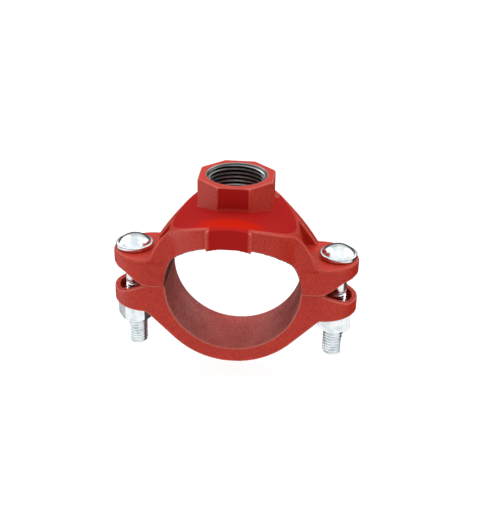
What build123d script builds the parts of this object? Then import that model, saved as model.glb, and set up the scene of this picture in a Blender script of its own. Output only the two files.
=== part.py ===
from build123d import *
import math
import os

# A bolted mechanical tee for 76.1 mm (2 1/2 inch) pipe with a 1 inch threaded outlet.
# Millimetres. The pipe's axis is Y, the two housings meet on the plane z = 0, and the
# outlet's axis is Z. The origin is where the pipe's axis crosses the outlet's axis.

# Run bore, shared by both housings and the gasket
bore_radius = 38.5
bore_cut_length = 200.0

# The two bolts' axes are parallel to Z; lug sizes along X are given from a bolt's axis
bolt_spacing = 117.3
bolt_x = bolt_spacing / 2

# Outlet housing: the raised deck round the outlet, and its skirt on the pipe
deck_radius = 50.0
deck_half_width = 36.5
deck_back_centre = 8.0
skirt_overhang = 1.5
skirt_setback = 6.5
back_skirt_drop = 6.0
skirt_half_width = deck_half_width + skirt_overhang
skirt_reach = deck_radius - skirt_setback
back_skirt_radius = deck_radius - back_skirt_drop
deck_edge_fillet = 1.2
skirt_edge_fillet = 1.2
skirt_blend_radius = 9.0

# Outlet housing: centre panel on the front of the skirt
panel_half_width = 11.0
panel_proud = 2.0
panel_depth = 12.0
panel_top_radius = 49.9
panel_bead_radius = 1.2

# Outlet housing: thin arch between the deck and the bolt pads, with a flange at each end
arch_wall = 4.0
front_flange_face = 19.7
front_flange_thickness = 3.4
back_flange_face = 18.5
back_flange_thickness = 7.5
back_flange_rise = 31.3
back_flange_rise_at = 36.0
back_flange_top = 46.0
back_flange_top_at = 22.0
back_flange_sunk = 1.0
flange_edge_fillet = 0.9
flange_root_fillet = 2.5

# Outlet housing: bolt lugs; their plan, an arc from shoulder to end, is the strap's too
pad_edge_from_bolt = 7.15
pad_edge = bolt_x - pad_edge_from_bolt
lug_half_width = 20.0
lug_height = 15.8
lug_shoulder_from_bolt = 10.65
lug_shoulder = bolt_x - lug_shoulder_from_bolt
lug_round_at_from_bolt = 5.85
lug_round_at = bolt_x + lug_round_at_from_bolt
lug_round_half_width = 13.4
lug_end_from_bolt = 12.05
lug_end = bolt_x + lug_end_from_bolt
lug_end_half_width = 6.0
lug_end_bulge = 1.3
lug_slope_end_from_bolt = 3.35
lug_slope_end = bolt_x + lug_slope_end_from_bolt
lug_slope_rise = 6.2
lug_end_rise = 7.6
lug_edge_fillet = 1.8

# Outlet boss: octagon outside, 1 inch pipe thread (major radius) and passage inside
boss_flats = 42.0
boss_top = 63.2
boss_edge_fillet = 1.0
outlet_thread_radius = 16.62
outlet_thread_depth = 19.0
outlet_mouth_chamfer = 0.4
passage_radius = 14.0

# Gasket and its pocket round the passage, cut into the run bore
gasket_outer_radius = 25.4
gasket_inner_radius = 18.6
gasket_thickness = 4.6
gasket_clearance = 0.1

# Bolts and nuts: M12 track bolts with oval necks, full hex nuts
bolt_radius = 6.0
bolt_length = 63.3
thread_end_chamfer = 1.0
neck_length = 8.0
neck_width = 13.0
neck_stretch = 4.0
neck_clearance = 0.3
shank_clearance = 0.75
head_radius = 10.7
head_rim = 2.8
head_rim_fillet = 2.2
head_height = 7.2
nut_flats = 19.0
nut_height = 12.3
nut_chamfer = 1.3
nut_clearance = 0.05
nut_swing_clearance = 0.6
nut_turns = {"left": 2.5, "right": -33.0}

# Strap housing
pad_gap = 0.5
strap_half_width = 18.95
strap_wall = 9.0
strap_lug_depth = 17.4
strap_lug_end_from_bolt = 12.35
strap_lug_end = bolt_x + strap_lug_end_from_bolt
strap_pad_edge_from_bolt = 7.65
strap_pad_edge = bolt_x - strap_pad_edge_from_bolt
strap_slope_end_from_bolt = 7.35
strap_slope_end = bolt_x + strap_slope_end_from_bolt
strap_slope_drop = 8.5
strap_pocket_start_from_bolt = 8.15
strap_pocket_start = bolt_x - strap_pocket_start_from_bolt
strap_pocket_depth = 14.0
strap_pocket_wall = 3.0

gasket_pocket_radius = bore_radius + gasket_thickness + gasket_clearance
nut_corner = nut_flats / 2 / math.cos(math.radians(30))
sides = {"left": -1, "right": 1}


def run_cylinder(radius, mode):
    """A long cylinder on the pipe's axis, in the builder that is open."""
    Cylinder(radius, bore_cut_length, rotation=(90, 0, 0), mode=mode)


def lug_outline(side, half_width, end):
    """One lug's plan outline out to its rounded end, in the line builder that is open."""
    for edge in (-1, 1):
        Line((0, edge * half_width), (side * lug_shoulder, edge * half_width))
        ThreePointArc(
            (side * lug_shoulder, edge * half_width),
            (side * lug_round_at, edge * lug_round_half_width),
            (side * (end - lug_end_bulge), edge * lug_end_half_width),
        )
    ThreePointArc(
        (side * (end - lug_end_bulge), -lug_end_half_width),
        (side * end, 0),
        (side * (end - lug_end_bulge), lug_end_half_width),
    )
    Line((0, -half_width), (0, half_width))


# Deck, front skirt and front flange: one plan outline, crowned by a cylinder on the pipe's axis
with BuildPart() as deck:
    with BuildSketch() as deck_outline:
        Ellipse(skirt_half_width, skirt_reach)
        with Locations((0, -deck_back_centre)):
            Rectangle(
                2 * deck_half_width,
                skirt_reach,
                align=(Align.CENTER, Align.MAX),
                mode=Mode.INTERSECT,
            )
        with Locations((0, -deck_back_centre)):
            Circle(deck_half_width)
        with Locations((0, -front_flange_face)):
            Rectangle(
                2 * lug_end,
                front_flange_thickness,
                align=(Align.CENTER, Align.MIN),
            )
        inner_corners = deck_outline.vertices().filter_by_position(
            Axis.X, -skirt_half_width, skirt_half_width
        )
        fillet(
            inner_corners.filter_by_position(
                Axis.Y, -front_flange_face - 0.01, -front_flange_face + 0.01
            ),
            skirt_blend_radius,
        )
        flange_back = front_flange_thickness - front_flange_face
        fillet(
            inner_corners.filter_by_position(Axis.Y, flange_back - 0.01, flange_back + 0.01),
            flange_root_fillet,
        )
    extrude(amount=boss_top)
    run_cylinder(deck_radius, Mode.INTERSECT)
    deck_rim = deck.faces().sort_by(Axis.Z)[-1].edges()
    fillet(deck_rim.filter_by_position(Axis.Z, 0.01, deck_radius), deck_edge_fillet)

# Back skirt: the same outline on the pipe, but lower
with BuildPart() as back_skirt:
    with BuildSketch():
        Ellipse(skirt_half_width, skirt_reach)
        Rectangle(
            2 * skirt_half_width,
            skirt_reach,
            align=(Align.CENTER, Align.MIN),
            mode=Mode.INTERSECT,
        )
    extrude(amount=boss_top)
    run_cylinder(back_skirt_radius, Mode.INTERSECT)
    fillet(back_skirt.faces().sort_by(Axis.Z)[-1].edges().sort_by(Axis.Y)[1:], skirt_edge_fillet)

# Raised panel at the middle of the front skirt, with a bead down each side
with BuildPart() as front_panel:
    with Locations((0, -skirt_reach - panel_proud, 0)):
        Box(
            2 * panel_half_width,
            panel_depth,
            boss_top,
            align=(Align.CENTER, Align.MIN, Align.MIN),
        )
    with Locations(
        (-panel_half_width, -skirt_reach - panel_proud + panel_bead_radius, 0),
        (panel_half_width, -skirt_reach - panel_proud + panel_bead_radius, 0),
    ):
        Cylinder(
            panel_bead_radius,
            boss_top,
            align=(Align.CENTER, Align.CENTER, Align.MIN),
        )
    run_cylinder(panel_top_radius, Mode.INTERSECT)

# Thin arch over the pipe, between the two flanges
arch_back = back_flange_face - back_flange_thickness / 2
arch_front = front_flange_face - front_flange_thickness / 2
with BuildPart() as arch:
    with BuildSketch(Plane.XZ.offset(-arch_back)):
        Circle(bore_radius + arch_wall)
        Rectangle(
            2 * deck_radius,
            deck_radius,
            align=(Align.CENTER, Align.MIN),
            mode=Mode.INTERSECT,
        )
    extrude(amount=arch_back + arch_front)

# Back flange: thicker, with flatter flanks that start just inside the lugs
back_flange_foot_rise = lug_height - back_flange_sunk
back_flange_foot = math.sqrt(deck_radius**2 - back_flange_foot_rise**2)
with BuildPart() as back_flange:
    with BuildSketch(Plane.XZ.offset(-back_flange_face)):
        with BuildLine():
            Polyline(
                (-back_flange_foot, back_flange_foot_rise),
                (-back_flange_foot, 0),
                (back_flange_foot, 0),
                (back_flange_foot, back_flange_foot_rise),
            )
            for side in sides.values():
                ThreePointArc(
                    (side * back_flange_foot, back_flange_foot_rise),
                    (side * back_flange_rise_at, back_flange_rise),
                    (side * back_flange_top_at, back_flange_top),
                )
            Line(
                (-back_flange_top_at, back_flange_top),
                (back_flange_top_at, back_flange_top),
            )
        make_face()
    extrude(amount=back_flange_thickness)
    fillet(back_flange.edges().filter_by(GeomType.CIRCLE), flange_edge_fillet)

# Bolt lugs: a block on each side, whose underside falls away from the split plane
with BuildPart() as lugs:
    with BuildSketch():
        for side in sides.values():
            with BuildLine():
                lug_outline(side, lug_half_width, lug_end)
            make_face()
    extrude(amount=lug_height)
    fillet(lugs.faces().sort_by(Axis.Z)[-1].edges(), lug_edge_fillet)
    with BuildSketch(Plane.XZ.offset(-lug_half_width)):
        for side in sides.values():
            with BuildLine():
                Polyline(
                    (side * pad_edge, 0),
                    (side * lug_slope_end, lug_slope_rise),
                    (side * (lug_end + 1), lug_end_rise),
                    (side * (lug_end + 1), -1),
                    (side * pad_edge, -1),
                    close=True,
                )
            make_face()
    extrude(amount=2 * lug_half_width, mode=Mode.SUBTRACT)

# Octagonal outlet boss
with BuildPart() as boss:
    with BuildSketch():
        RegularPolygon(boss_flats / 2, 8, major_radius=False, rotation=22.5)
    extrude(amount=boss_top)
    fillet(boss.edges().filter_by(Axis.Z), boss_edge_fillet)
    fillet(boss.faces().sort_by(Axis.Z)[-1].edges(), boss_edge_fillet)

# Gasket pocket: an annular groove round the passage, as deep as the gasket all round
with BuildPart() as gasket_pocket:
    Cylinder(
        gasket_outer_radius + gasket_clearance,
        deck_radius,
        align=(Align.CENTER, Align.CENTER, Align.MIN),
    )
    Cylinder(
        gasket_inner_radius - gasket_clearance,
        deck_radius,
        align=(Align.CENTER, Align.CENTER, Align.MIN),
        mode=Mode.SUBTRACT,
    )
    run_cylinder(gasket_pocket_radius, Mode.INTERSECT)

# Outlet housing: the pieces of the casting joined, then bored and drilled
with BuildPart() as outlet_housing:
    add(arch.part)
    add(back_flange.part)
    add(lugs.part)
    add(back_skirt.part)
    add(deck.part)
    add(front_panel.part)
    add(boss.part)
    add(gasket_pocket.part, mode=Mode.SUBTRACT)
    run_cylinder(bore_radius, Mode.SUBTRACT)
    # outlet: mouth chamfer, thread and passage
    Cylinder(
        passage_radius,
        boss_top,
        align=(Align.CENTER, Align.CENTER, Align.MIN),
        mode=Mode.SUBTRACT,
    )
    with Locations((0, 0, boss_top)):
        Cylinder(
            outlet_thread_radius,
            outlet_thread_depth,
            align=(Align.CENTER, Align.CENTER, Align.MAX),
            mode=Mode.SUBTRACT,
        )
        Cone(
            outlet_thread_radius,
            outlet_thread_radius + outlet_mouth_chamfer,
            outlet_mouth_chamfer,
            align=(Align.CENTER, Align.CENTER, Align.MAX),
            mode=Mode.SUBTRACT,
        )
    # oval bolt holes, which hold the bolts' necks from turning
    with BuildSketch():
        with Locations((-bolt_x, 0), (bolt_x, 0)):
            SlotCenterToCenter(neck_stretch, neck_width + 2 * neck_clearance)
    extrude(amount=lug_height, mode=Mode.SUBTRACT)

outlet_housing.part.label = "outlet_housing"
export_step(outlet_housing.part, "parts/outlet_housing.step")

# Gasket: a saddle-shaped rubber ring that fills the pocket down to the pipe
with BuildPart() as outlet_gasket:
    Cylinder(
        gasket_outer_radius,
        deck_radius,
        align=(Align.CENTER, Align.CENTER, Align.MIN),
    )
    Cylinder(
        gasket_inner_radius,
        deck_radius,
        align=(Align.CENTER, Align.CENTER, Align.MIN),
        mode=Mode.SUBTRACT,
    )
    run_cylinder(bore_radius + gasket_thickness, Mode.INTERSECT)
    run_cylinder(bore_radius, Mode.SUBTRACT)
outlet_gasket.part.label = "outlet_gasket"
export_step(outlet_gasket.part, "parts/outlet_gasket.step")

# Strap housing: a half ring with a lug on each side, joined by a web tangent to the ring
strap_radius = bore_radius + strap_wall
web_tangent = strap_radius / math.sqrt(2)
with BuildPart() as strap_body:
    with BuildSketch(Plane.XZ.offset(-strap_half_width)):
        Circle(strap_radius)
        Polygon(
            (-web_tangent, -web_tangent),
            (web_tangent, -web_tangent),
            (2 * web_tangent - strap_lug_depth, -strap_lug_depth),
            (2 * web_tangent - strap_lug_depth, -pad_gap),
            (strap_lug_depth - 2 * web_tangent, -pad_gap),
            (strap_lug_depth - 2 * web_tangent, -strap_lug_depth),
            align=None,
        )
        with Locations((0, -pad_gap)):
            Rectangle(
                2 * strap_lug_end,
                strap_lug_depth - pad_gap,
                align=(Align.CENTER, Align.MAX),
            )
            Rectangle(
                2 * strap_lug_end,
                2 * strap_radius,
                align=(Align.CENTER, Align.MAX),
                mode=Mode.INTERSECT,
            )
    extrude(amount=2 * strap_half_width)

with BuildPart() as strap_plan:
    with BuildSketch(Plane.XY.offset(-2 * strap_radius)):
        for side in sides.values():
            with BuildLine():
                lug_outline(side, strap_half_width, strap_lug_end)
            make_face()
    extrude(amount=2 * strap_radius)

# The hollow in each lug of the strap, a wall's width inside its outline
with BuildPart() as strap_pockets:
    for side in sides.values():
        with BuildSketch(Plane.XY.offset(-strap_pocket_depth)):
            with BuildLine():
                lug_outline(side, strap_half_width, strap_lug_end)
            make_face()
            offset(amount=-strap_pocket_wall, kind=Kind.INTERSECTION)
            with Locations((side * strap_pocket_start, 0)):
                Rectangle(
                    strap_lug_end,
                    2 * strap_half_width,
                    align=(Align.MIN if side > 0 else Align.MAX, Align.CENTER),
                    mode=Mode.INTERSECT,
                )
        extrude(amount=strap_pocket_depth)

with BuildPart() as strap_housing:
    add(strap_body.part)
    add(strap_plan.part, mode=Mode.INTERSECT)
    with BuildSketch(Plane.XZ.offset(-strap_half_width)):
        for side in sides.values():
            with BuildLine():
                Polyline(
                    (side * strap_pad_edge, -pad_gap),
                    (side * strap_slope_end, -strap_slope_drop),
                    (side * (strap_lug_end + 1), -strap_slope_drop),
                    (side * (strap_lug_end + 1), 1),
                    (side * strap_pad_edge, 1),
                    close=True,
                )
            make_face()
    extrude(amount=2 * strap_half_width, mode=Mode.SUBTRACT)
    run_cylinder(bore_radius, Mode.SUBTRACT)
    add(strap_pockets.part, mode=Mode.SUBTRACT)
    with Locations((-bolt_x, 0), (bolt_x, 0)):
        Cylinder(
            bolt_radius + shank_clearance,
            strap_lug_depth,
            align=(Align.CENTER, Align.CENTER, Align.MAX),
            mode=Mode.SUBTRACT,
        )
    # a scallop in each web, where the nut's corners swing past it
    with Locations((-bolt_x, 0, -strap_lug_depth), (bolt_x, 0, -strap_lug_depth)):
        Cylinder(
            nut_corner + nut_swing_clearance,
            nut_height,
            align=(Align.CENTER, Align.CENTER, Align.MAX),
            mode=Mode.SUBTRACT,
        )
strap_housing.part.label = "strap_housing"
export_step(strap_housing.part, "parts/strap_housing.step")


def track_bolt(x):
    """A track bolt, head down on the lug's top face: domed head, oval neck, shank, thread."""
    bottom = lug_height - bolt_length
    dome_height = head_height - head_rim
    dome_radius = (head_radius**2 + dome_height**2) / (2 * dome_height)
    with BuildPart() as bolt:
        with BuildSketch(Plane((x, 0, 0), x_dir=(1, 0, 0), z_dir=(0, -1, 0))):
            with BuildLine():
                Polyline(
                    (0, lug_height + head_height),
                    (0, bottom),
                    (bolt_radius - thread_end_chamfer, bottom),
                    (bolt_radius, bottom + thread_end_chamfer),
                    (bolt_radius, lug_height),
                    (head_radius, lug_height),
                    (head_radius, lug_height + head_rim),
                )
                RadiusArc(
                    (head_radius, lug_height + head_rim), (0, lug_height + head_height), -dome_radius
                )
            make_face()
        revolve(axis=Axis((x, 0, 0), (0, 0, 1)))
        fillet(
            bolt.edges().filter_by_position(
                Axis.Z, lug_height + head_rim - 0.01, lug_height + head_rim + 0.01
            ),
            head_rim_fillet,
        )
        with BuildSketch(Plane((x, 0, lug_height - neck_length))):
            SlotCenterToCenter(neck_stretch, neck_width)
        extrude(amount=neck_length)
    return bolt.part


def hex_nut(x, turn):
    """A plain hex nut against the strap's lower face, chamfered at both ends."""
    with BuildPart() as nut:
        with BuildSketch(Plane.XY.offset(-strap_lug_depth)):
            with Locations((x, 0)):
                RegularPolygon(nut_flats / 2, 6, major_radius=False, rotation=turn)
        extrude(amount=-nut_height)
        with BuildSketch(Plane.XZ):
            with BuildLine():
                Polyline(
                    (x, -strap_lug_depth),
                    (x + nut_flats / 2 + 0.2, -strap_lug_depth),
                    (x + nut_corner + 0.2, -strap_lug_depth - nut_chamfer * 0.6),
                    (x + nut_corner + 0.2, -strap_lug_depth - nut_height + nut_chamfer),
                    (x + nut_flats / 2 + 0.2, -strap_lug_depth - nut_height),
                    (x, -strap_lug_depth - nut_height),
                    close=True,
                )
            make_face()
        revolve(axis=Axis((x, 0, 0), (0, 0, 1)), mode=Mode.INTERSECT)
        with Locations((x, 0, -strap_lug_depth)):
            Cylinder(
                bolt_radius + nut_clearance,
                nut_height,
                align=(Align.CENTER, Align.CENTER, Align.MAX),
                mode=Mode.SUBTRACT,
            )
    return nut.part


for name, side in sides.items():
    bolt = track_bolt(side * bolt_x)
    bolt.label = f"track_bolt_{name}"
    export_step(bolt, f"parts/track_bolt_{name}.step")
    nut = hex_nut(side * bolt_x, nut_turns[name])
    nut.label = f"nut_{name}"
    export_step(nut, f"parts/nut_{name}.step")
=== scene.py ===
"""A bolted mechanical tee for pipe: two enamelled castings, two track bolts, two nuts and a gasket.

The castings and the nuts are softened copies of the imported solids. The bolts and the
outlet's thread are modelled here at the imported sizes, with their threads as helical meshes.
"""

import math

import bmesh
import bpy
from mathutils import Matrix, Vector


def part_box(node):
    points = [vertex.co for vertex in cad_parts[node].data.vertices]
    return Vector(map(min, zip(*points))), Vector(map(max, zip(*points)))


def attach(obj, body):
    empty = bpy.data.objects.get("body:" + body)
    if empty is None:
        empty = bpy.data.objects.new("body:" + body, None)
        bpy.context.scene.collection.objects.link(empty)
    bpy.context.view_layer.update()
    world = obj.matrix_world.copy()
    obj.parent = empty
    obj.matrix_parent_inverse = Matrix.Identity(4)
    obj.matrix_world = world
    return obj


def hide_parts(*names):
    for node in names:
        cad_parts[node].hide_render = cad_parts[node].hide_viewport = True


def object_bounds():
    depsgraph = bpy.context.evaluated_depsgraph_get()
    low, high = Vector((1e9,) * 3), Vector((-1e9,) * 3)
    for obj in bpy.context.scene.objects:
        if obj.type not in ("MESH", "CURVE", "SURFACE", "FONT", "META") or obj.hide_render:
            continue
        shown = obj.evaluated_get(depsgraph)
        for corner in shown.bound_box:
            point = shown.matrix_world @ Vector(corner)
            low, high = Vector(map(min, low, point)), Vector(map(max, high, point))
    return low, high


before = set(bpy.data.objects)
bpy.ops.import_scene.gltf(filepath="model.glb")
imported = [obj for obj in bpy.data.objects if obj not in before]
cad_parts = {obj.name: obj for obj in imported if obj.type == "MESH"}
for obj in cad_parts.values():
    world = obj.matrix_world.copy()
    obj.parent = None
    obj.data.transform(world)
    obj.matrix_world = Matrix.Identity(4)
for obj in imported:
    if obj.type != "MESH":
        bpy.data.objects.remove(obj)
cad_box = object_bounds()

MM = 0.001
TURN = 2 * math.pi

# the castings' two main radii, and the edges of the fields where the enamel lies even
BORE_RADIUS = 38.5 * MM
DECK_RADIUS = 50.0 * MM
DECK_CENTRE_Y = -8.0 * MM
DECK_RIM_RADIUS = 34.9 * MM
DECK_FOOT_Z = 32.5 * MM
BOSS_FRONT_Y = -20.8 * MM
BOSS_TOP_Z = 62.9 * MM
BOSS_FOOT_Z = 51.0 * MM
PANEL_Y = -39.6 * MM
PANEL_HALF_WIDTH = 10.6 * MM

# M12 thread on the bolts, and 11 threads to the inch in the outlet
BOLT_RADIUS = 6.0 * MM
BOLT_PITCH = 1.75 * MM
BOLT_THREAD_DEPTH = 0.9 * MM
BOLT_THREAD_TOP = -5.0 * MM
BOLT_POINT_RADIUS = 4.8 * MM
BOLT_GRID_TURNS = 30
OUTLET_RADIUS = 16.5 * MM
OUTLET_PITCH = 2.309 * MM
OUTLET_THREAD_DEPTH = 1.45 * MM
OUTLET_GRID_TURNS = 11
ROWS_PER_TURN = 8
# a lead-in radius so wide that it trims nothing
NO_LEAD_IN = 1.0

# the track bolt's head, oval neck and shank
HEAD_HEIGHT = 7.2 * MM
HEAD_CHAMFER = 0.5 * MM
BRIM_FOOT = 2.0 * MM
BRIM_RADIUS = 0.8 * MM
DOME_INSET = 1.3 * MM
DOME_FOOT = 2.9 * MM
NECK_RADIUS = 6.5 * MM
NECK_OFFSET = 2.0 * MM
NECK_LENGTH = 7.5 * MM
NECK_LEAD = 8.0 * MM
NECK_TAPER = 0.93
SHANK_RADIUS = 5.95 * MM

# the threaded liner in the outlet
LINER_SINK = 0.05 * MM
LINER_LENGTH = 18.9 * MM
LINER_RADIUS = 17.1 * MM
MOUTH_RADIUS = 16.9 * MM

# how finely the softened skins are made
CASTING_VOXEL = 0.5 * MM
CASTING_TRIANGLES = 190_000
NUT_VOXEL = 0.16 * MM
NUT_TRIANGLES = 90_000
SOFTEN_ROUNDS = 3

# finishes: a darker and a lighter tone of each, then single colours
GLOSSY_RED = ((0.42, 0.013, 0.004), (0.68, 0.035, 0.012))
# a paler, pinker red for the bore: painted sheen, standing in for the white table's grazing
# reflection
BORE_SHEEN_RED = ((0.30, 0.024, 0.018), (0.62, 0.18, 0.155))
DULL_RED = ((0.44, 0.013, 0.012), (0.47, 0.016, 0.013))
ZINC = ((0.60, 0.66, 0.70), (0.82, 0.85, 0.86))
IRON = ((0.05, 0.055, 0.055), (0.60, 0.61, 0.60))
RUBBER = ((0.012, 0.012, 0.013), (0.035, 0.034, 0.033))
TABLE = ((0.24, 0.24, 0.24), (0.26, 0.26, 0.26))
# a brighter red: a pool of light painted on the deck's front
LIT_DECK_FRONT_RED = (0.57, 0.014, 0.004)
# a pale red: a highlight painted on convex edges
EDGE_HIGHLIGHT_RED = (0.85, 0.25, 0.19)
# a near-black red: shade painted on the bore just above the split
SPLIT_SHADE_RED = (0.05, 0.009, 0.007)

# the floor and its round wall, in metres
FLOOR_DROP = 15 * MM
WALL_RADIUS = 4
WALL_HEIGHT = 4
WALL_SIDES = 64

# how bright each part of the painted studio is
AMBIENT_GLOW = 0.06
SKY_GLOW = 0.38
OVERHEAD_GLOW = 0.80
BACK_GLOW = 0.40
SIDE_GLOW = 0.35
RIM_GLOW = 1.8
TABLE_GLOW = 1.05
TABLE_LEAN = 0.75


# ---------------------------------------------------------------- node trees
class Wire:
    """An output socket of a node tree, so that sums on it read as expressions."""

    def __init__(self, tree, socket):
        self.tree = tree
        self.socket = socket

    def math(self, operation, *others):
        """Feeds this wire and the others to a Math node."""
        node = self.tree.nodes.new("ShaderNodeMath")
        node.operation = operation
        for slot, value in zip(node.inputs, (self, *others)):
            feed(self.tree, slot, value)
        return Wire(self.tree, node.outputs[0])

    def __add__(self, other):
        return self.math("ADD", other)

    def __radd__(self, other):
        return self.math("ADD", other)

    def __mul__(self, other):
        return self.math("MULTIPLY", other)

    def __rmul__(self, other):
        return self.math("MULTIPLY", other)

    def __sub__(self, other):
        return self.math("SUBTRACT", other)

    def __rsub__(self, other):
        return (self * -1) + other

    def __truediv__(self, other):
        return self.math("DIVIDE", other)

    def clamp(self, low=0.0, high=1.0):
        """Held between low and high."""
        return self.math("MAXIMUM", low).math("MINIMUM", high)

    def step(self, start, end):
        """0 below start and 1 above end, with a smooth rise between; start may be the higher."""
        rise = ((self - start) / (end - start)).clamp()
        return rise * rise * (3 - 2 * rise)


def feed(tree, slot, value):
    """Links a wire to an input socket, or sets the socket to a constant."""
    if isinstance(value, Wire):
        tree.links.new(value.socket, slot)
    else:
        slot.default_value = value


class Nodes:
    """A node tree under construction."""

    def __init__(self, tree):
        self.tree = tree

    def node(self, kind, settings=None, inputs=None):
        """Adds a node: its settings first, then its sockets by name or place."""
        node = self.tree.nodes.new(kind)
        for name, value in (settings or {}).items():
            setattr(node, name, value)
        for key, value in (inputs or {}).items():
            feed(self.tree, node.inputs[key], value)
        return node

    def add(self, kind, settings=None, inputs=None, output=0):
        """Adds a node and gives one of its outputs."""
        return Wire(self.tree, self.node(kind, settings, inputs).outputs[output])

    def split(self, vector):
        """The three parts of a vector."""
        node = self.node("ShaderNodeSeparateXYZ", inputs={0: vector})
        return [Wire(self.tree, socket) for socket in node.outputs]

    def noise(self, where, size, detail=2.0, roughness=0.5):
        """Noise from 0 to 1 whose features are about size metres across."""
        return self.add(
            "ShaderNodeTexNoise",
            inputs={"Vector": where, "Scale": 1 / size, "Detail": detail, "Roughness": roughness},
            output="Fac",
        )

    def mix_color(self, factor, first, second):
        """Goes from the first colour at 0 to the second at 1; each is a tuple or a wire."""
        first, second = (
            (*color, 1) if isinstance(color, tuple) else color for color in (first, second)
        )
        return self.add(
            "ShaderNodeMix", {"data_type": "RGBA"}, {0: factor, 6: first, 7: second}, output=2
        )


def material_tree(name):
    """A new material, its node builder and its Principled shader's input sockets."""
    material = bpy.data.materials.new(name)
    material.use_nodes = True
    shader = material.node_tree.nodes["Principled BSDF"]
    return material, Nodes(material.node_tree), shader.inputs


def bump(nodes, height, distance, strength=1.0):
    """A normal that rises and falls by up to distance metres with the height from 0 to 1."""
    return nodes.add(
        "ShaderNodeBump",
        inputs={"Height": height, "Distance": distance, "Strength": strength},
        output="Normal",
    )


# ---------------------------------------------------------------- materials
def even_enamel(x, y, z, across, from_pipe):
    """Masks of the flat, even fields, and of the deck's front, where a pool of light is painted."""
    from_centre = (x * x + (y - DECK_CENTRE_Y) * (y - DECK_CENTRE_Y)).math("SQRT")
    deck = from_pipe.step(DECK_RADIUS - 0.7 * MM, DECK_RADIUS - 0.4 * MM)
    deck = deck * from_pipe.step(DECK_RADIUS + 0.5 * MM, DECK_RADIUS + 0.3 * MM)
    deck = deck * z.step(DECK_FOOT_Z, DECK_FOOT_Z + 1.0 * MM)
    deck = deck * from_centre.step(DECK_RIM_RADIUS, DECK_RIM_RADIUS - 1.1 * MM)
    # where the painted pool of light lies on the deck's front
    lit_deck_front = deck * y.step(-29 * MM, -34 * MM) * across.step(22 * MM, 12 * MM)
    boss_front = y.step(BOSS_FRONT_Y + 0.2 * MM, BOSS_FRONT_Y)
    boss_front = boss_front * y.step(BOSS_FRONT_Y - 1.2 * MM, BOSS_FRONT_Y - 0.8 * MM)
    boss_front = boss_front * across.step(8.5 * MM, 8.0 * MM)
    boss_front = boss_front * z.step(BOSS_TOP_Z, BOSS_TOP_Z - 0.5 * MM)
    boss_front = boss_front * z.step(BOSS_FOOT_Z, BOSS_FOOT_Z + 1.0 * MM)
    panel = y.step(PANEL_Y + 0.4 * MM, PANEL_Y)
    panel = panel * across.step(PANEL_HALF_WIDTH, PANEL_HALF_WIDTH - 0.6 * MM)
    return (deck + boss_front + panel).clamp(), lit_deck_front


def red_enamel():
    """Sprayed enamel on rough cast iron.

    It is glossy and grainy, with a painted highlight on its convex edges, a painted sheen in the
    bore and painted shade in the bore just above the split. The deck, the boss's front and the
    panel are dull and even, with a pool of light painted on the deck's front.
    """
    material, nodes, shader = material_tree("red_enamel")
    where = nodes.add("ShaderNodeTexCoord", output="Object")
    x, y, z = nodes.split(where)
    across = x.math("ABSOLUTE")
    from_pipe = (x * x + z * z).math("SQRT")
    even, lit_deck_front = even_enamel(x, y, z, across, from_pipe)
    bore = from_pipe.step(BORE_RADIUS + 0.7 * MM, BORE_RADIUS + 0.3 * MM)
    # the painted sheen in the bore grows towards its sides
    sheen_sides = across.step(12 * MM, 34 * MM)
    # where the painted shade lies: the bore above the split
    shade_above_split = z.step(0.0, 1 * MM)

    tone = nodes.noise(where, 14 * MM, detail=3)
    grain = nodes.noise(where, 0.75 * MM, detail=3, roughness=0.65)
    speckle = nodes.noise(where, 0.5 * MM, detail=1)
    # painted highlight: convex edges, found by the mesh's pointiness, turn paler
    edge_highlight = nodes.add("ShaderNodeNewGeometry", output="Pointiness").step(0.508, 0.54)

    color = nodes.mix_color((tone * 0.15 + grain * 0.85).step(0.36, 0.64), *GLOSSY_RED)
    # painted sheen: the bore is paler and pinker, most at its sides, on top of its grain
    bore_sheen = nodes.mix_color((grain * 0.7 + tone * 0.3).step(0.38, 0.62), *BORE_SHEEN_RED)
    color = nodes.mix_color(bore * (0.5 + 0.5 * sheen_sides), color, bore_sheen)
    color = nodes.mix_color(edge_highlight * 0.5, color, EDGE_HIGHLIGHT_RED)
    # painted shade: the bore just above the split is darkened almost to black
    color = nodes.mix_color(bore * shade_above_split * 0.85, color, SPLIT_SHADE_RED)
    feed(nodes.tree, shader["Base Color"], color)
    feed(nodes.tree, shader["Roughness"], 0.32 + 0.2 * grain)
    shader["IOR"].default_value = 1.38
    skin = grain * 0.7 + speckle * 0.3
    feed(nodes.tree, shader["Normal"], bump(nodes, skin, 0.24 * MM))

    dull_color = nodes.mix_color(tone, *DULL_RED)
    # painted light: the deck's front turns a brighter red
    dull_color = nodes.mix_color(lit_deck_front, dull_color, LIT_DECK_FRONT_RED)
    dull = nodes.add(
        "ShaderNodeBsdfPrincipled",
        inputs={
            "Base Color": dull_color,
            "Roughness": 0.5,
            "IOR": 1.08,
            "Normal": bump(nodes, grain, 0.05 * MM, 0.3),
        },
        output="BSDF",
    )
    glossy = Wire(nodes.tree, nodes.tree.nodes["Principled BSDF"].outputs["BSDF"])
    coat = nodes.add("ShaderNodeMixShader", inputs={0: even, 1: glossy, 2: dull})
    feed(nodes.tree, nodes.tree.nodes["Material Output"].inputs["Surface"], coat)
    return material


def bright_zinc():
    """Bright zinc plate: a metal mirror, a little uneven."""
    material, nodes, shader = material_tree("bright_zinc")
    where = nodes.add("ShaderNodeTexCoord", output="Object")
    cloud = nodes.noise(where, 5 * MM, detail=4)
    fine = nodes.noise(where, 0.5 * MM, detail=2)
    feed(nodes.tree, shader["Base Color"], nodes.mix_color(cloud.step(0.3, 0.6), *ZINC))
    shader["Metallic"].default_value = 1
    feed(nodes.tree, shader["Roughness"], 0.10 + 0.16 * cloud)
    feed(nodes.tree, shader["Normal"], bump(nodes, cloud * 0.8 + fine * 0.2, 0.08 * MM, 0.5))
    return material


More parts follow.
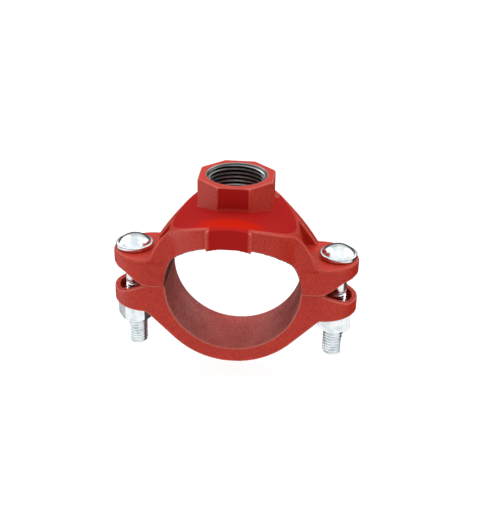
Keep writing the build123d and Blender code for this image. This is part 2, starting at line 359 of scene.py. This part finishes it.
def cut_iron():
    """Freshly cut cast iron in the outlet's thread: dark grey with bright crests."""
    material, nodes, shader = material_tree("cut_iron")
    where = nodes.add("ShaderNodeTexCoord", output="Object")
    x, y, _ = nodes.split(where)
    from_axis = (x * x + y * y).math("SQRT")
    crest = from_axis.step(16.2 * MM, 15.2 * MM)
    mouth = from_axis.step(16.5 * MM, 16.8 * MM)
    grain = nodes.noise(where, 0.7 * MM, detail=3)
    bright = (crest + mouth * 0.55).clamp() * (0.7 + 0.3 * grain)
    feed(nodes.tree, shader["Base Color"], nodes.mix_color(bright, *IRON))
    shader["Metallic"].default_value = 1
    feed(nodes.tree, shader["Roughness"], 0.42 - 0.14 * bright)
    feed(nodes.tree, shader["Normal"], bump(nodes, grain, 0.04 * MM, 0.5))
    return material


def black_rubber():
    """Moulded rubber with a dull face under a film of dust."""
    material, nodes, shader = material_tree("black_rubber")
    where = nodes.add("ShaderNodeTexCoord", output="Object")
    dust = nodes.noise(where, 3 * MM, detail=4)
    grain = nodes.noise(where, 0.5 * MM)
    feed(nodes.tree, shader["Base Color"], nodes.mix_color(dust, *RUBBER))
    feed(nodes.tree, shader["Roughness"], 0.5 + 0.25 * dust)
    feed(nodes.tree, shader["Normal"], bump(nodes, grain, 0.05 * MM, 0.4))
    return material


def white_floor():
    """A white table that glows on its own, so that it stays even and all but shadowless."""
    material, nodes, shader = material_tree("white_floor")
    where = nodes.add("ShaderNodeTexCoord", output="Object")
    paper = nodes.noise(where, 40 * MM)
    feed(nodes.tree, shader["Base Color"], nodes.mix_color(paper, *TABLE))
    shader["Roughness"].default_value = 0.9
    shader["IOR"].default_value = 1.0
    shader["Emission Color"].default_value = (1, 1, 1, 1)
    shader["Emission Strength"].default_value = 0.88
    return material


# ---------------------------------------------------------------- meshes
def as_object(name, mesh, *materials):
    """Puts a mesh in the scene, smooth, with its place in its own vertices."""
    for material in materials:
        mesh.materials.append(material)
    for face in mesh.polygons:
        face.use_smooth = True
    piece = bpy.data.objects.new(name, mesh)
    bpy.context.scene.collection.objects.link(piece)
    return piece


def evaluated_mesh(piece):
    """The piece's mesh with its modifiers applied, as a plain mesh."""
    evaluated = piece.evaluated_get(bpy.context.evaluated_depsgraph_get())
    return bpy.data.meshes.new_from_object(evaluated)


def soft_skin(node_name, voxel, triangles):
    """A solid's surface with every edge and inner corner a little round, as cast or plated."""
    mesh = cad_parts[node_name].data.copy()
    shell = bmesh.new()
    shell.from_mesh(mesh)
    bmesh.ops.remove_doubles(shell, verts=shell.verts, dist=0.001 * MM)
    shell.to_mesh(mesh)
    shell.free()
    mesh.materials.clear()
    rough = as_object("rough", mesh)
    remesh = rough.modifiers.new("skin", "REMESH")
    remesh.mode = "VOXEL"
    remesh.voxel_size = voxel
    smooth = rough.modifiers.new("soften", "SMOOTH")
    smooth.factor = 0.5
    smooth.iterations = SOFTEN_ROUNDS
    skin = evaluated_mesh(rough)
    count = 2 * len(skin.polygons)
    bpy.data.objects.remove(rough)
    if count <= triangles:
        return skin
    dense = as_object("dense", skin)
    thin = dense.modifiers.new("thin", "DECIMATE")
    thin.ratio = triangles / count
    skin = evaluated_mesh(dense)
    bpy.data.objects.remove(dense)
    return skin


def lathe(shell, profile, centre_x, segments=96):
    """Turns (radius, height) points round a vertical axis, into a shell closed at both poles."""
    rings = []
    for radius, height in profile:
        count = segments if radius > 0 else 1
        rings.append([
            shell.verts.new((
                centre_x + radius * math.cos(TURN * i / count),
                radius * math.sin(TURN * i / count),
                height,
            ))
            for i in range(count)
        ])
    for low, high in zip(rings, rings[1:]):
        for i in range(segments):
            a, b = low[i % len(low)], low[(i + 1) % len(low)]
            c, d = high[(i + 1) % len(high)], high[i % len(high)]
            shell.faces.new(dict.fromkeys((a, b, c, d)))


def arc_points(centre, radius, start, end, steps):
    """Points on an arc in the (radius, height) plane, angles in degrees."""
    return [
        (
            centre[0] + radius * math.cos(math.radians(start + (end - start) * i / steps)),
            centre[1] + radius * math.sin(math.radians(start + (end - start) * i / steps)),
        )
        for i in range(steps + 1)
    ]


def thread_tree():
    """A helical thread as a tube about Z: rows follow the helix, so every crest stays sharp."""
    tree = bpy.data.node_groups.new("thread", "GeometryNodeTree")
    face = tree.interface
    names = (
        "Radius", "Depth", "Pitch", "Bottom", "Top",
        "Lead in", "Run in", "Run out", "Mouth", "Centre",
    )
    for name in names:
        face.new_socket(name, in_out="INPUT", socket_type="NodeSocketFloat")
    face.new_socket("Rows", in_out="INPUT", socket_type="NodeSocketInt")
    face.new_socket("Columns", in_out="INPUT", socket_type="NodeSocketInt")
    face.new_socket("Material", in_out="INPUT", socket_type="NodeSocketMaterial")
    face.new_socket("Geometry", in_out="OUTPUT", socket_type="NodeSocketGeometry")
    nodes = Nodes(tree)
    entry = nodes.node("NodeGroupInput")
    given = {socket.name: Wire(tree, socket) for socket in entry.outputs if socket.name}
    grid = nodes.add(
        "GeometryNodeMeshGrid",
        inputs={
            "Size X": 1.0,
            "Size Y": 1.0,
            "Vertices X": given["Columns"],
            "Vertices Y": given["Rows"],
        },
    )
    across, along, _ = nodes.split(nodes.add("GeometryNodeInputPosition"))
    round_share = across + 0.5
    row = (along + 0.5) * (given["Rows"] - 1)
    climb = (row / ROWS_PER_TURN + round_share) * given["Pitch"]
    helix = given["Bottom"] - given["Pitch"] + climb
    height = helix.math("MAXIMUM", given["Bottom"]).math("MINIMUM", given["Top"])
    wave = (0.5 + 0.8 * (row * (TURN / ROWS_PER_TURN)).math("COSINE")).clamp()
    fade_in = ((height - given["Bottom"]) / given["Run in"]).clamp()
    fade = fade_in * ((given["Top"] - height) / given["Run out"]).clamp()
    lead = given["Lead in"] + (height - given["Bottom"])
    mouth = given["Mouth"] + (height - given["Top"])
    radius = given["Radius"] - given["Depth"] * (1 - wave) * fade
    radius = radius.math("MINIMUM", lead).math("MAXIMUM", mouth)
    angle = round_share * TURN
    placed = nodes.add(
        "ShaderNodeCombineXYZ",
        inputs={
            "X": radius * angle.math("COSINE") + given["Centre"],
            "Y": radius * angle.math("SINE"),
            "Z": height,
        },
    )
    moved = nodes.add("GeometryNodeSetPosition", inputs={"Geometry": grid, "Position": placed})
    joined = nodes.add(
        "GeometryNodeMergeByDistance", inputs={"Geometry": moved, "Distance": 0.002 * MM}
    )
    real = nodes.add("GeometryNodeRealizeInstances", inputs={"Geometry": joined})
    painted = nodes.add(
        "GeometryNodeSetMaterial", inputs={"Geometry": real, "Material": given["Material"]}
    )
    nodes.node("NodeGroupOutput", inputs={"Geometry": painted})
    return tree


def thread_mesh(tree, **values):
    """Runs the thread tree with these inputs and gives its mesh."""
    carrier = bpy.data.objects.new("carrier", bpy.data.meshes.new("carrier"))
    bpy.context.scene.collection.objects.link(carrier)
    modifier = carrier.modifiers.new("thread", "NODES")
    modifier.node_group = tree
    for socket in tree.interface.items_tree:
        key = socket.name.lower().replace(" ", "_")
        if key in values:
            modifier[socket.identifier] = values[key]
    mesh = evaluated_mesh(carrier)
    bpy.data.objects.remove(carrier)
    return mesh


def closed_mesh(name, shell, crease_degrees=35):
    """Closes and finishes a bmesh shell: doubles merged, faces outward, sharp edges marked."""
    bmesh.ops.remove_doubles(shell, verts=shell.verts, dist=0.002 * MM)
    bmesh.ops.recalc_face_normals(shell, faces=shell.faces)
    crease = math.radians(crease_degrees)
    for edge in shell.edges:
        edge.smooth = len(edge.link_faces) < 2 or edge.calc_face_angle(0) < crease
    mesh = bpy.data.meshes.new(name)
    shell.to_mesh(mesh)
    shell.free()
    return mesh


# ---------------------------------------------------------------- pieces
def casting(name, body, material):
    """One enamelled casting, over its solid."""
    skin = soft_skin(name, CASTING_VOXEL, CASTING_TRIANGLES)
    piece = as_object(f"{name}_skin", skin, material)
    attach(piece, body)
    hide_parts(name)


def close_tube(shell, low_z, high_z):
    """Caps a threaded tube's two end rings."""
    open_edges = [edge for edge in shell.edges if len(edge.link_faces) == 1]
    for z in (low_z, high_z):
        ring = [e for e in open_edges if all(abs(v.co.z - z) < 0.01 * MM for v in e.verts)]
        bmesh.ops.edgeloop_fill(shell, edges=ring)


def bolt_head(shell, centre, radius, top):
    """A flat-bottomed head with a rolled brim and a low dome."""
    seat = top - HEAD_HEIGHT
    dome_foot = radius - DOME_INSET
    dome_height = HEAD_HEIGHT - DOME_FOOT
    dome_radius = (dome_foot**2 + dome_height**2) / (2 * dome_height)
    edge_angle = math.degrees(math.asin(dome_foot / dome_radius))
    dome = arc_points((0, top - dome_radius), dome_radius, 90 - edge_angle, 90, 24)
    brim = arc_points((radius - BRIM_RADIUS, seat + BRIM_FOOT), BRIM_RADIUS, 15, 90, 6)
    profile = [
        (0, seat),
        (radius - HEAD_CHAMFER, seat),
        (radius, seat + HEAD_CHAMFER),
        (radius, seat + BRIM_FOOT),
        *brim,
        *dome[:-1],
        (0, top),
    ]
    lathe(shell, profile, centre)


def bolt_neck(shell, centre, seat):
    """The oval neck under the head, with a small lead at its lower end."""
    neck = [
        (
            centre + side * NECK_OFFSET + NECK_RADIUS * math.cos(angle),
            NECK_RADIUS * math.sin(angle),
        )
        for side, start in ((1, -90), (-1, 90))
        for angle in (math.radians(start + 180 * i / 24) for i in range(25))
    ]
    bottom = [shell.verts.new((x, y, seat - NECK_LENGTH)) for x, y in neck]
    inset = [
        shell.verts.new((centre + (x - centre) * NECK_TAPER, y * NECK_TAPER, seat - NECK_LEAD))
        for x, y in neck
    ]
    top = [shell.verts.new((x, y, seat)) for x, y in neck]
    for ring_a, ring_b in ((inset, bottom), (bottom, top)):
        for i in range(len(neck)):
            j = (i + 1) % len(neck)
            shell.faces.new((ring_a[i], ring_a[j], ring_b[j], ring_b[i]))
    shell.faces.new(inset[::-1])
    shell.faces.new(top)


def track_bolt(name, thread, material):
    """A track bolt: domed head, oval neck, plain shank and rolled thread."""
    low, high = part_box(name)
    centre = (low[0] + high[0]) / 2
    seat = high[2] - HEAD_HEIGHT
    shell = bmesh.new()
    bolt_head(shell, centre, (high[0] - low[0]) / 2, high[2])
    shank_foot = BOLT_THREAD_TOP - 1 * MM
    shank = [(0, shank_foot), (SHANK_RADIUS, shank_foot), (SHANK_RADIUS, seat), (0, seat)]
    lathe(shell, shank, centre, 64)
    bolt_neck(shell, centre, seat)
    threaded = thread_mesh(
        thread, radius=BOLT_RADIUS, depth=BOLT_THREAD_DEPTH, pitch=BOLT_PITCH, bottom=low[2],
        top=BOLT_THREAD_TOP, lead_in=BOLT_POINT_RADIUS, run_in=0.1 * MM, run_out=2 * BOLT_PITCH,
        mouth=0.0, centre=centre, rows=ROWS_PER_TURN * BOLT_GRID_TURNS + 1, columns=65,
        material=material,
    )
    tube = bmesh.new()
    tube.from_mesh(threaded)
    close_tube(tube, low[2], BOLT_THREAD_TOP)
    tube.to_mesh(threaded)
    tube.free()
    shell.from_mesh(threaded)
    piece = as_object(f"{name}_plated", closed_mesh(name, shell), material)
    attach(piece, "outlet")
    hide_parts(name)


def plated_nut(name, body, material):
    """One zinc-plated nut, over its solid."""
    piece = as_object(f"{name}_plated", soft_skin(name, NUT_VOXEL, NUT_TRIANGLES), material)
    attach(piece, body)
    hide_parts(name)


def outlet_thread(thread, material):
    """The outlet's thread: a thin threaded liner on the bore, with a bright mouth."""
    top = cad_box[1][2] - LINER_SINK
    bottom = top - LINER_LENGTH
    threaded = thread_mesh(
        thread, radius=OUTLET_RADIUS, depth=OUTLET_THREAD_DEPTH, pitch=OUTLET_PITCH,
        bottom=bottom, top=top, lead_in=NO_LEAD_IN, run_in=2 * OUTLET_PITCH, run_out=1 * MM,
        mouth=MOUTH_RADIUS, centre=0.0, rows=ROWS_PER_TURN * OUTLET_GRID_TURNS + 1, columns=129,
        material=material,
    )
    shell = bmesh.new()
    shell.from_mesh(threaded)
    ring = [e for e in shell.edges if len(e.link_faces) == 1 and e.verts[0].co.z > top - 0.1 * MM]
    for height in (top, bottom):
        grown = bmesh.ops.extrude_edge_only(shell, edges=ring)["geom"]
        ring = [part for part in grown if isinstance(part, bmesh.types.BMEdge)]
        ring = [e for e in ring if len(e.link_faces) == 1]
        for vert in {v for e in ring for v in e.verts}:
            out = Vector((vert.co.x, vert.co.y, 0)).normalized() * LINER_RADIUS
            vert.co = (out.x, out.y, height)
    ends = [e for e in shell.edges if len(e.link_faces) == 1]
    bmesh.ops.bridge_loops(shell, edges=ends)
    piece = as_object("outlet_thread", closed_mesh("outlet_thread", shell), material)
    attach(piece, "outlet")


# ---------------------------------------------------------------- set
def place_camera():
    """A long lens, a little right of the pipe's axis and well above it."""
    eye = Vector((44.3, -495.0, 264.3)) * MM
    target = Vector((2.74, 0.0, 12.47)) * MM
    roll = math.radians(0.996)
    forward = (target - eye).normalized()
    level = forward.cross(Vector((0, 0, 1))).normalized()
    upright = level.cross(forward)
    right = level * math.cos(roll) + upright * math.sin(roll)
    up = upright * math.cos(roll) - level * math.sin(roll)
    data = bpy.data.cameras.new("camera")
    data.lens = 68.0
    data.sensor_width = 36.0
    data.clip_start = 0.01
    camera = bpy.data.objects.new("camera", data)
    camera.matrix_world = Matrix((
        (right.x, up.x, -forward.x, eye.x),
        (right.y, up.y, -forward.y, eye.y),
        (right.z, up.z, -forward.z, eye.z),
        (0, 0, 0, 1),
    ))
    bpy.context.scene.collection.objects.link(camera)
    bpy.context.scene.camera = camera


def place_floor():
    """A white floor with a round wall, low enough for the strap to drop on its bolts.

    Only the camera sees it: the studio's light reaches the tee through it.
    """
    low = cad_box[0][2] - FLOOR_DROP
    angles = [TURN * i / WALL_SIDES for i in range(WALL_SIDES)]
    ring = [(WALL_RADIUS * math.cos(angle), WALL_RADIUS * math.sin(angle)) for angle in angles]
    points = [(x, y, z) for z in (low, low + WALL_HEIGHT) for x, y in ring]
    wall = [
        (i, (i + 1) % WALL_SIDES, (i + 1) % WALL_SIDES + WALL_SIDES, i + WALL_SIDES)
        for i in range(WALL_SIDES)
    ]
    mesh = bpy.data.meshes.new("floor")
    mesh.from_pydata(points, [], [tuple(range(WALL_SIDES)), *wall])
    floor = bpy.data.objects.new("floor", mesh)
    bpy.context.scene.collection.objects.link(floor)
    mesh.materials.append(white_floor())
    floor.visible_diffuse = False
    floor.visible_glossy = False
    floor.visible_shadow = False


def light_studio():
    """A studio as a painted sky: soft light above, rim lights behind, a bright table in front.

    The table's edge leans back on the left, so that the plated faces there stay bright.
    The floor hides none of this from the tee, so the half below the horizon is painted too.
    """
    world = bpy.data.worlds.new("studio")
    bpy.context.scene.world = world
    world.use_nodes = True
    nodes = Nodes(world.node_tree)
    direction = nodes.add("ShaderNodeTexCoord", output="Generated")
    x, y, z = nodes.split(direction)
    sideways = x.math("ABSOLUTE")
    overhead = z.step(0.60, 0.80) * OVERHEAD_GLOW
    back = y.step(0.05, 0.55) * z.step(0.85, 0.55) * BACK_GLOW
    sides = sideways.step(0.55, 0.8) * SIDE_GLOW
    towards_rim = sideways * 0.70 + y * 0.50 + z * 0.51
    rim = towards_rim.step(0.90, 0.96) * RIM_GLOW
    above = z.step(0.12, 0.46) * (SKY_GLOW + overhead + back + sides + rim)
    leftward = (x * -1).clamp()
    table = z.step(0.0, -0.15) * (y - TABLE_LEAN * leftward).step(0.08, -0.06) * TABLE_GLOW
    glow = AMBIENT_GLOW + above + table
    background = world.node_tree.nodes["Background"]
    background.inputs["Color"].default_value = (1, 1, 1, 1)
    feed(world.node_tree, background.inputs["Strength"], glow)


place_camera()
bpy.context.scene.view_settings.view_transform = "Standard"
place_floor()
light_studio()

enamel = red_enamel()
zinc = bright_zinc()
iron = cut_iron()
rubber = black_rubber()

casting("outlet_housing", "outlet", enamel)
casting("strap_housing", "strap", enamel)
helix = thread_tree()
outlet_thread(helix, iron)
for side in ("left", "right"):
    track_bolt(f"track_bolt_{side}", helix, zinc)
    plated_nut(f"nut_{side}", f"{side}_nut", zinc)
for material_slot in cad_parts["outlet_gasket"].material_slots:
    material_slot.material = rubber
